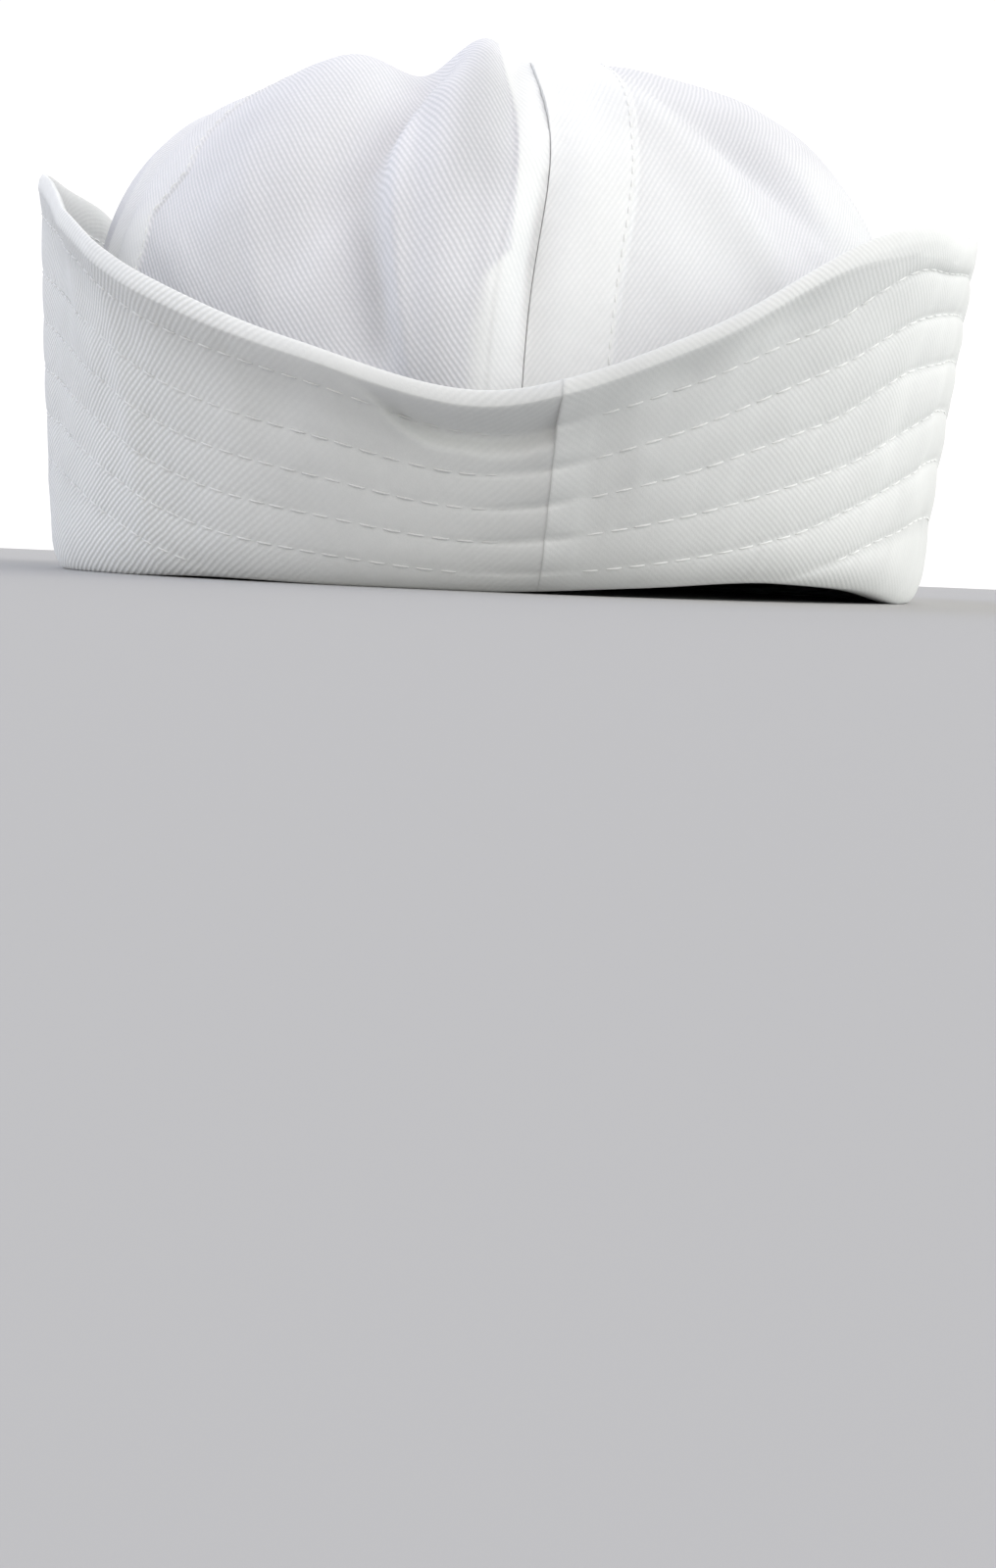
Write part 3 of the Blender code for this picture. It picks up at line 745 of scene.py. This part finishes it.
def gore_layers_and_light(place, azimuths, climbs, beside):
    """How double the cloth looks over a facing strip and a pressed allowance, raised by painted light on
    two slanted parts of the front right gore.
    """
    on_strip = STRIP_WIDTH + strip_shift(azimuths, climbs) - beside
    strip = ease(on_strip, 0, LAYER_EDGE) * (beside > 0)
    low = 1 - ease(climbs, *LOW_LAYER_CLIMBS)
    softness = LAYER_EDGE + (LOW_LAYER_EDGE - LAYER_EDGE) * low
    reaching = np.interp(climbs, *ALLOWANCE_REACH.T) * MM
    pressed = ease(reaching + beside, -softness / 2, softness / 2) * (beside <= 0)
    fading = 1 - LEFT_LAYER_LOSS * ease(climbs, *LEFT_LAYER_CLIMBS)
    layers_and_light = strip * {"front_left": fading, "front_right": 1}.get(place, PLAIN_LAYERS)
    layers_and_light += pressed * {"side_left": fading, "front_left": 1}.get(place, PLAIN_LAYERS)
    # painted light on two slanted parts of the front right gore, where it faces the light
    if place == "front_right":
        front = FRONT_LIGHT_SLANT.share * (1 - past_slant(FRONT_LIGHT_SLANT, azimuths, climbs))
        side = SIDE_LIGHT_SLANT.share * past_slant(SIDE_LIGHT_SLANT, azimuths, climbs)
        side *= 1 - ease(climbs, *SIDE_LIGHT_SLANT_TOP)
        layers_and_light = np.maximum(layers_and_light, np.maximum(front, side))
    return layers_and_light


def build_gore(number, gore):
    azimuths, climbs = gore_grid(number, gore.columns, gore.rows)
    outer, normals, beside = crown_surface(azimuths, climbs)
    inner = outer - normals * CROWN_CLOTH
    inner[0, :, 2] = outer[0, :, 2] = LEG_TOP - 0.1 * MM
    middle = (seam_azimuth(number, climbs) + seam_azimuth(number + 1, climbs)) / 2
    across = np.radians(azimuths - middle) * dome_radius(azimuths, climbs)
    cloth = lay_twill(across, climbs * PROFILE_LENGTH, gore.twill)
    tone = 1 - SEAM_SHADE * bell(beside, SEAM_SHADE_WIDTH)
    # painted shade at spots of the crown, and painted light at one
    for shade_spot in (ShadeSpot(*row) for row in SHADE_SPOTS):
        away = signed_turn(azimuths - shade_spot.azimuth) / shade_spot.half_width
        tone *= 1 + shade_spot.change * np.exp(-away ** 4 - ((climbs - shade_spot.climb) / shade_spot.half_height) ** 4)
    layers_and_light = gore_layers_and_light(gore.place, azimuths, climbs, beside)
    looks = {"cloth": cloth, "tone": tone, "layers_and_light": layers_and_light, "crisp": 1 - LAYERS_CRISPNESS_LOSS * layers_and_light}
    piece = add_mesh(
        "gore_" + gore.place, np.stack((outer, inner)), shell_quads(gore.rows, gore.columns), CROWN_TWILL,
        {key: np.stack((values, values)) for key, values in looks.items()})
    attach(piece, "root")
    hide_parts("crown_gore_" + gore.place)


# ---------------- brim

def brim_station(azimuth):
    height, lean, lip, lift, first_row, row_pitch = read_table(BRIM_TABLE, azimuth)
    return BrimStation(
        azimuth, height * MM, lean, np.maximum(lip, 0) * MM, np.maximum(lift, 0) * MM,
        first_row * MM, row_pitch * MM)


def brim_look(azimuth):
    return BrimLook(azimuth, *(value * MM for value in read_table(BRIM_LOOKS, azimuth)))


def stitch_heights(station, floor):
    """Heights of the rows, which stay apart where they run down to a floor."""
    shifts = np.stack(read_table(ROW_SHIFTS, station.azimuth)[::-1]) * MM
    down = station.first_row + station.row_pitch * np.arange(STITCH_ROWS)[::-1, None] - shifts
    lowest = floor + ROW_CLEARANCE * np.arange(1, STITCH_ROWS + 1)[:, None]
    return np.maximum(station.height - down, lowest)


def brim_wrinkle(azimuth, height):
    """Soft unevenness of the standing cloth, none at the rim."""
    free = ease(height, *BRIM_WRINKLE_GROWTH)
    return free * wrinkles(azimuth * BRIM_DEGREE, height / MM, BRIM_WRINKLES) * MM


def face_reach(height, station, look, crease):
    """The brim's outer face without its quilting: fold at the rim, lean, lip, curl, crease and dents."""
    top, azimuth = station.height, station.azimuth
    from_fold = np.clip(1 - (height - station.lift) / FOLD_HEIGHT, 0, 1)
    reach = FOLD_INSET * (np.sqrt(1 - from_fold ** 2) - 1)
    lip_share = np.clip((height - top) / LIP_HEIGHT + 1, 0, None)
    reach = reach + np.tan(np.radians(station.lean)) * height + station.lip * lip_share ** LIP_POWER
    curl_share = np.clip((height - top) / CURL_HEIGHT + 1, 0, None)
    reach += look.curl * (curl_share ** LIP_POWER - np.minimum(height / top, 1))
    down = (top - height) / MM
    for dent in (Dent(*row) for row in DENTS):
        away = signed_turn(azimuth - dent.azimuth) * np.radians(RIM_HALF_WIDTH / MM)
        reach -= dent.depth * MM * bell(away, dent.half_width) * bell(down - dent.down, dent.half_height)
    if crease:
        share = (top - look.roll - height) / np.maximum(look.crease - look.roll, LEAST_HOLLOW)
        strength = ease(azimuth, CREASE_START, CREASE_START + CREASE_GROWTH)
        strength *= 1 - CREASE_LOSS * ease(azimuth, CREASE_END - CREASE_EASING, CREASE_END)
        hollow = plateau(share, 0, HOLLOW_BOTTOM, HOLLOW_BOTTOM, HOLLOW_END)
        reach -= HOLLOW_DEPTH * strength * hollow * crease
    return reach + brim_wrinkle(azimuth, height)


def seam_relief(seam_away, crease_side):
    """The cloth rises towards a brim seam, with a flat allowance on one side, and turns into it."""
    ridge = BRIM_RIDGE * np.exp(-seam_away / BRIM_RIDGE_WIDTH)
    flat = BRIM_ALLOWANCE_HEIGHT * edge_step(BRIM_ALLOWANCE - seam_away) * (not crease_side)
    turned = np.clip(1 - seam_away / BRIM_SEAM_FOLD, 0, 1)
    return ridge + flat - BRIM_SEAM_DEPTH * turned ** 2


def quilt_relief(share, low, high, azimuth, number, puff):
    """Puff of a channel between two stitch rows, with puckers beside them."""
    size = 1 if number == STITCH_ROWS else np.clip((high - low) / QUILT_FULL_PITCH, 0, 1)
    dome = (4 * share * (1 - share)) ** QUILT_ROUNDNESS
    x = azimuth * BRIM_DEGREE
    near = np.exp(-np.minimum(share, 1 - share) * (high - low) / QUILT_PUCKER_REACH)
    pucker = sum(
        part * noise(x / width, x * 0 + number * step, seed) for part, width, step, seed in QUILT_PUCKERS)
    return size * (puff * (dome - 0.5) + QUILT_PUCKER * pucker * near)


def past_spans(azimuth, right, left):
    """From 0 at the front to 1 past a span of degrees to the right, and one to the left."""
    return np.maximum(ease(azimuth, *right), ease(-azimuth, *left))


def brim_section(azimuth, seam_away, crease):
    """Reach from the rim outline and height around the brim's section, at each azimuth."""
    station, look = brim_station(azimuth), brim_look(azimuth)
    lift, top = station.lift, station.height
    at_seam = seam_relief(seam_away, crease)
    reaches, heights = [], []

    def note(reach, height):
        reaches.append(reach + 0 * azimuth)
        heights.append(height + 0 * azimuth)

    # Outer face from the underside up, with its quilted channels, to the folded edge
    levels = [lift, *stitch_heights(station, lift), top - look.roll]
    for number, (low, high) in enumerate(zip(levels, levels[1:])):
        for share in np.linspace(0, 1, CHANNEL_STEPS + 1)[(number > 0):]:
            if number == STITCH_ROWS and share == 1:
                continue
            height = low + (high - low) * (share ** 2 if number == 0 else share)
            dome_share = share / 2 if number == STITCH_ROWS else share
            relief = quilt_relief(dome_share, low, high, azimuth, number, look.puff)
            if number == 0:
                relief = relief * ease(share, *FIRST_CHANNEL_GROWTH)
            rising = ease(height, lift, lift + BRIM_RIDGE_GROWTH)
            note(face_reach(height, station, look, crease) + relief + at_seam * rising, height)

    # Folded edge, from its widest place over the top to the inner face
    plain, full = past_spans(azimuth, *PLAIN_EDGE_SPANS), past_spans(azimuth, *FULL_EDGE_SPANS)
    bulge = EDGE_BULGE * (1 - plain) + look.puff / 2
    half = (BRIM_CLOTH + bulge) / 2
    middle = face_reach(top - look.roll, station, look, crease)
    for turn in np.linspace(0, np.pi, EDGE_STEPS + 1):
        power = EDGE_POWER + (PLAIN_EDGE_POWER - EDGE_POWER) * plain if turn < np.pi / 2 else 1
        power = power + (FULL_EDGE_POWER - power) * full
        height = top - look.roll * (1 - np.sin(turn) ** power)
        lean_share = EDGE_LEAN + (PLAIN_EDGE_LEAN - EDGE_LEAN) * plain
        lean = (face_reach(height, station, look, crease) - middle) * lean_share
        outwards = np.sign(np.cos(turn)) * np.abs(np.cos(turn)) ** power
        note(middle + lean + bulge - half * (1 - outwards) + at_seam, height)

    # Inner face, trough, inner leg, and back to the underside
    face_foot = lift + FOLD_HEIGHT
    levels = [top - look.roll, *stitch_heights(station, face_foot)[::-1], face_foot]
    for number, (high, low) in enumerate(zip(levels, levels[1:])):
        for share in np.linspace(0, 1, INNER_STEPS + 1)[1:]:
            height = high + (low - high) * share
            relief = quilt_relief(share, low, high, azimuth, number + INNER_CHANNELS, INNER_PUFF)
            relief *= ease(height, face_foot, face_foot + INNER_PUFF_RISE)
            relief *= ease(top - height, look.roll, INNER_PUFF_DEPTH)
            cloth = face_reach(height, station, look, crease * INNER_HOLLOW) - BRIM_CLOTH
            note(cloth - relief, height)
    for reach, height in TROUGH:
        note(reach * MM, lift + height * MM)
    leg_inside = LEG_REACH - BRIM_CLOTH
    note(LEG_REACH, LEG_TOP)
    note(leg_inside, LEG_TOP)
    for outwards, height in LEG_ROUNDING:
        note(leg_inside + outwards * MM, lift + height * MM)
    note(-FOLD_INSET - UNDERSIDE_WIDTH, lift)
    return np.stack(reaches, axis=1), np.stack(heights, axis=1), station


def brim_azimuths(start, end):
    """Azimuths of a brim half's stations, closer together at its seams."""
    shares = np.linspace(0, 1, 20000)
    away = np.minimum(shares, 1 - shares) * np.radians(end - start) * RIM_HALF_WIDTH
    total = np.cumsum(1 + seam_crowding(away))
    picked = np.interp(np.linspace(total[0], total[-1], BRIM_STATIONS), total, shares)
    return start + (end - start) * picked


# Painted highlight on the rolled edge, painted shade under it, patches of painted shade and light, and
# painted shade along the seam
def brim_tone(side, down, seam_away):
    roll = ROLL_HIGHLIGHT + LEFT_ROLL_HIGHLIGHT * ease(-side, *LEFT_ROLL)
    shade = EDGE_SHADE * (1 - ease(side, *EDGE_SHADE_FADING))
    tone = 1 + roll * ease(ROLL_DEPTH - down, 0, ROLL_FADING)
    tone -= shade * bell(down - EDGE_SHADE_DEPTH, EDGE_SHADE_WIDTH)
    tone *= 1 + sum(change * bell(side - azimuth, width) for azimuth, width, change in LIGHT_AND_SHADE_PATCHES)
    return tone * (1 - BRIM_SEAM_SHADE * bell(seam_away, BRIM_SEAM_SHADE_WIDTH))


def brim_crispness(side, down):
    clearer = ROLL_CLEARER - SIDE_ROLL_LOSS * ease(np.abs(side), *SIDE_ROLL)
    on_roll = ease(CLEARER_DEPTH - down, 0, CLEARER_FADING)
    return read_table(CRISPNESS, side)[0] * (1 + clearer * on_roll)


def build_brim_half(name, node, start, end, twill, fineness):
    azimuth = brim_azimuths(start, end)
    seam_away = np.minimum(azimuth - start, end - azimuth) * np.radians(1) * RIM_HALF_WIDTH
    azimuth[[0, -1]] += -SEAM_OVERLAP, SEAM_OVERLAP
    crease = name == "brim_cloth_left"
    reach, height, station = brim_section(signed_turn(azimuth), seam_away, crease)
    radius = oval_radius(azimuth, RIM_HALF_WIDTH, RIM_HALF_LENGTH)[:, None] + reach
    flat = radius[..., None] * direction(azimuth)[:, None] + CAP_CENTRE
    points = np.concatenate((flat, height[..., None]), axis=-1)
    stations, corners = height.shape
    steps = np.hypot(np.diff(reach, axis=1), np.diff(height, axis=1))
    up = np.concatenate((np.zeros((stations, 1)), np.cumsum(steps, axis=1)), axis=1)
    apex = RIM_HALF_WIDTH / np.sin(CLOTH_CONE)
    bend = np.radians(azimuth - BRIM_SEAMS[0] - 360 * crease)[:, None] * np.sin(CLOTH_CONE)
    cloth = lay_twill((apex + up) * np.sin(bend), (apex + up) * np.cos(bend), twill) * fineness
    side = signed_turn(azimuth)[:, None]
    down = (station.height[:, None] - height) / MM
    inner_side = slice(height[0].argmax() + INNER_SIDE, None)
    tone, crisp = brim_tone(side, down, seam_away[:, None]), brim_crispness(side, down)
    # painted shade on the inner side
    tone[:, inner_side] *= INNER_SHADE
    crisp[:, inner_side] *= INNER_CRISPNESS
    here = np.arange(stations - 1)[:, None] * corners + np.arange(corners)
    beside = np.roll(here, -1, axis=1)
    quads = np.stack((here, here + corners, beside + corners, beside), axis=-1).reshape(-1, 4)
    caps = np.arange(corners), np.arange(corners)[::-1] + (stations - 1) * corners
    looks = {"cloth": cloth, "tone": tone, "layers_and_light": np.ones_like(tone), "crisp": crisp}
    piece = add_mesh(name, points, quads, BRIM_TWILL, looks, caps)
    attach(piece, "root")
    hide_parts(node)


# ---------------- stitches

BRIM_STITCH, BRIM_STITCH_PITCH = 3.0 * MM, 3.9 * MM
BRIM_THREAD = (0.34 * MM, 0.30 * MM)  # width and height
BRIM_THREAD_RISE = 0.1 * MM
BRIM_STITCH_END = 0.4  # degrees between a row's end and the seam
BRIM_STITCH_ROOM = 2 * MM  # least height of a row over the fold
SLOPE_STEP = 0.5 * MM
CROWN_STITCH, CROWN_STITCH_PITCH = 1.7 * MM, 2.5 * MM
CROWN_THREAD = (0.36 * MM, 0.26 * MM)
CROWN_STITCH_CLIMBS = (0.05, 0.93)
CROWN_STITCH_END = 3  # least degrees to the next seam

# Rings of a stitch: share of its length, rise in mm, size
STITCH_RINGS = ((0, -0.20, 0.45), (0.12, 0, 0.85), (0.5, 0.06, 1), (0.88, 0, 0.85), (1, -0.20, 0.45))
STITCH_SIDES = 6


def build_stitches(name, rows, width, height):
    """Small bowed threads in rows of starts, ends, normals and tones, half sunk into the cloth."""
    starts, ends, normals, tones = (np.concatenate(part) for part in zip(*rows))
    along = unit(ends - starts)
    side = unit(np.cross(along, normals))
    normals = np.cross(side, along)
    rings = []
    for share, rise, size in STITCH_RINGS:
        centre = starts + (ends - starts) * share + normals * rise * MM
        for turn in np.linspace(0, 2 * np.pi, STITCH_SIDES, endpoint=False):
            offset = side * np.cos(turn) * width + normals * np.sin(turn) * height
            rings.append(centre + offset * size / 2)
    points = np.stack(rings, axis=1)
    count = len(STITCH_RINGS) * STITCH_SIDES
    quads = []
    for ring in range(len(STITCH_RINGS) - 1):
        for corner in range(STITCH_SIDES):
            a = ring * STITCH_SIDES + corner
            b = ring * STITCH_SIDES + (corner + 1) % STITCH_SIDES
            quads.append((a, b, b + STITCH_SIDES, a + STITCH_SIDES))
    last = (len(STITCH_RINGS) - 1) * STITCH_SIDES
    quads += [(3, 2, 1, 0), (5, 4, 3, 0)]
    quads += [(last, last + 1, last + 2, last + 3), (last, last + 3, last + 4, last + 5)]
    quads = np.array(quads)
    quads = (np.arange(len(starts))[:, None, None] * count + quads).reshape(-1, 4)
    piece = add_mesh(name, points, quads, THREAD, {"tone": np.repeat(tones, count)})
    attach(piece, "root")


def even_places(line, pitch):
    """Shares along a line of points at equal distances."""
    run = np.concatenate(((0,), np.cumsum(np.linalg.norm(np.diff(line, axis=0), axis=1))))
    return np.interp(np.arange(pitch / 2, run[-1] - pitch, pitch), run, np.arange(len(line)))


def read_line(line, places, axes=3):
    index = np.arange(len(line))
    return np.stack([np.interp(places, index, line[:, axis]) for axis in range(axes)], axis=1)


def brim_stitches(name, start, end):
    turns = np.linspace(start + BRIM_STITCH_END, end - BRIM_STITCH_END, 1200)
    azimuth = signed_turn(turns)
    crease = name == "brim_stitches_left"
    station, look = brim_station(azimuth), brim_look(azimuth)
    outline = oval_radius(azimuth, RIM_HALF_WIDTH, RIM_HALF_LENGTH)
    index = np.arange(len(azimuth))
    rows = []
    for side, floor, puff in ((1, station.lift, look.puff), (-1, station.lift + FOLD_HEIGHT, INNER_PUFF)):
        for number, height in enumerate(stitch_heights(station, floor)):
            clear = station.height - station.first_row - station.row_pitch * (STITCH_ROWS - 1 - number)
            shown = clear > floor + ROW_CLEARANCE * (number + 1) + BRIM_STITCH_ROOM
            hollowed = crease if side > 0 else crease * INNER_HOLLOW
            reach, low_reach, high_reach = (
                face_reach(height + step, station, look, hollowed) for step in (0, -SLOPE_STEP, SLOPE_STEP))
            cloth = outline + reach - (BRIM_CLOTH if side < 0 else 0)
            cloth += side * (BRIM_THREAD_RISE - puff / 2)
            line = np.column_stack((cloth[:, None] * direction(azimuth) + CAP_CENTRE, height))
            places = even_places(line, BRIM_STITCH_PITCH)
            places = places[np.interp(places, index, shown.astype(float)) > 0.5]
            step = BRIM_STITCH / BRIM_STITCH_PITCH * np.gradient(places)
            slope = np.interp(places, index, (high_reach - low_reach) / (2 * SLOPE_STEP))
            out = read_line(direction(azimuth), places, 2)
            normals = np.column_stack((out, -slope)) / np.hypot(1, slope)[:, None] * side
            # painted shade on the stitches
            tones = read_table(THREAD_SHADE, np.interp(places, index, turns))[0]
            rows.append((read_line(line, places), read_line(line, places + step), normals, tones))
    build_stitches(name, rows, *BRIM_THREAD)


def crown_stitches():
    rows = []
    for number in range(len(GORES)):
        climb = np.linspace(*CROWN_STITCH_CLIMBS, 900)
        azimuth = seam_azimuth(number, climb)
        for _ in range(3):
            beside = TOPSTITCH_AT + strip_shift(seam_azimuth(number, climb) + GORE_ANGLE / 4, climb)
            azimuth = seam_azimuth(number, climb) + beside / (np.radians(1) * dome_radius(azimuth, climb))
        kept = azimuth < seam_azimuth(number + 1, climb) - CROWN_STITCH_END
        azimuth, climb = azimuth[kept], climb[kept]
        line, facing, _ = crown_surface(azimuth, climb)
        places = even_places(line, CROWN_STITCH_PITCH)
        step = CROWN_STITCH / CROWN_STITCH_PITCH * np.gradient(places)
        normals, tones = read_line(facing, places), np.ones(len(places))
        rows.append((read_line(line, places), read_line(line, places + step), normals, tones))
    build_stitches("crown_topstitches", rows, *CROWN_THREAD)


# ---------------- the cap

for number, gore in enumerate(GORES):
    build_gore(number, gore)
front_seam, back_seam = BRIM_SEAMS
build_brim_half("brim_cloth_right", "brim_right", front_seam, back_seam, twill=137, fineness=1.13)
build_brim_half("brim_cloth_left", "brim_left", back_seam, front_seam + 360, twill=45, fineness=0.94)
brim_stitches("brim_stitches_right", front_seam, back_seam)
brim_stitches("brim_stitches_left", back_seam, front_seam + 360)
crown_stitches()

# ---------------- floor, light and camera

FLOOR_SIZE = 6.0
FLOOR_COLOUR = (0.45, 0.45, 0.45, 1)


def build_floor():
    corners = FLOOR_SIZE / 2 * np.array(((-1, -1, 0), (1, -1, 0), (1, 1, 0), (-1, 1, 0)))
    material = bpy.data.materials.new("pale_floor")
    material.use_nodes = True
    shader = material.node_tree.nodes["Principled BSDF"]
    shader.inputs["Base Color"].default_value = FLOOR_COLOUR
    shader.inputs["Roughness"].default_value = 0.9
    shader.inputs["Specular IOR Level"].default_value = 0.1
    floor = add_mesh("floor", corners, np.array([[0, 1, 2, 3]]), material)


# Soft light from all around: a base and lobes, each with its direction, sharpness and colour
WORLD_BASE = (0.595, 0.56, 0.51)
WORLD_LOBES = (
    ((1, 0, 0.2), 4, (1.21, 1.26, 1.14)),
    ((1, -0.2, 0.35), 18, (0.28, 0.33, 0.34)),
    ((0.95, -0.32, 0.05), 14, (0.25, 0.28, 0.26)),
    ((0.8, -0.6, 0), 6, (0.43, 0.57, 0.5)),
    ((0.7, -0.5, 0.6), 6, (1.08, 1.03, 1.17)),
    ((0.6, -0.5, 0.75), 18, (0.85, 0.78, 0.9)),
    ((-1, 0, 0.2), 4, (0.79, 0.89, 1.25)),
    ((-1, -0.2, 0.35), 18, (0.91, 0.88, 0.67)),
    ((-0.8, -0.5, 0.2), 14, (0.38, 0.27, 0)),
    ((-0.7, 0, 0.7), 8, (0.32, 0.48, 0.8)),
    ((0, 1, 0.1), 3, (0.59, 0.62, 0.68)),
)


def build_world():
    world = bpy.data.worlds.new("studio")
    bpy.context.scene.world = world
    world.use_nodes = True
    nodes = Nodes(world.node_tree)
    way = nodes.add("ShaderNodeTexCoord").outputs["Generated"]
    total = nodes.add("ShaderNodeCombineXYZ", dict(enumerate(WORLD_BASE))).outputs[0]
    for aim, power, colour in WORLD_LOBES:
        aim = np.array(aim) / np.linalg.norm(aim)
        facing = nodes.math("MAXIMUM", nodes.vector("DOT_PRODUCT", way, tuple(aim)), 0.0)
        glow = nodes.vector("SCALE", colour, nodes.math("POWER", facing, power))
        total = nodes.vector("ADD", total, glow)
    shader = nodes.add("ShaderNodeBackground", {0: total, 1: 1.0})
    nodes.add("ShaderNodeOutputWorld", {0: shader.outputs[0]})


CAMERA_PLACE = np.array((-0.5, -285.5, 4.0)) * MM
CAMERA_PITCH, CAMERA_ROLL, CAMERA_YAW = np.radians((10.43, 2.40, 0.82))
CAMERA_LENS = 27.0  # mm for a 36 mm long side


def build_camera():
    data = bpy.data.cameras.new("camera")
    data.lens = CAMERA_LENS
    data.clip_start = 0.002
    camera = bpy.data.objects.new("camera", data)
    bpy.context.scene.collection.objects.link(camera)
    forward = np.array((
        np.sin(CAMERA_YAW) * np.cos(CAMERA_PITCH),
        np.cos(CAMERA_YAW) * np.cos(CAMERA_PITCH),
        -np.sin(CAMERA_PITCH),
    ))
    level = np.array((np.cos(CAMERA_YAW), -np.sin(CAMERA_YAW), 0))
    up = np.cross(level, forward)
    right = level * np.cos(CAMERA_ROLL) + up * np.sin(CAMERA_ROLL)
    above = up * np.cos(CAMERA_ROLL) - level * np.sin(CAMERA_ROLL)
    turn = Matrix(np.column_stack((right, above, -forward)).tolist()).to_4x4()
    camera.matrix_world = Matrix.Translation(CAMERA_PLACE) @ turn
    bpy.context.scene.camera = camera


build_floor()
build_world()
build_camera()
bpy.context.scene.view_settings.view_transform = "Standard"
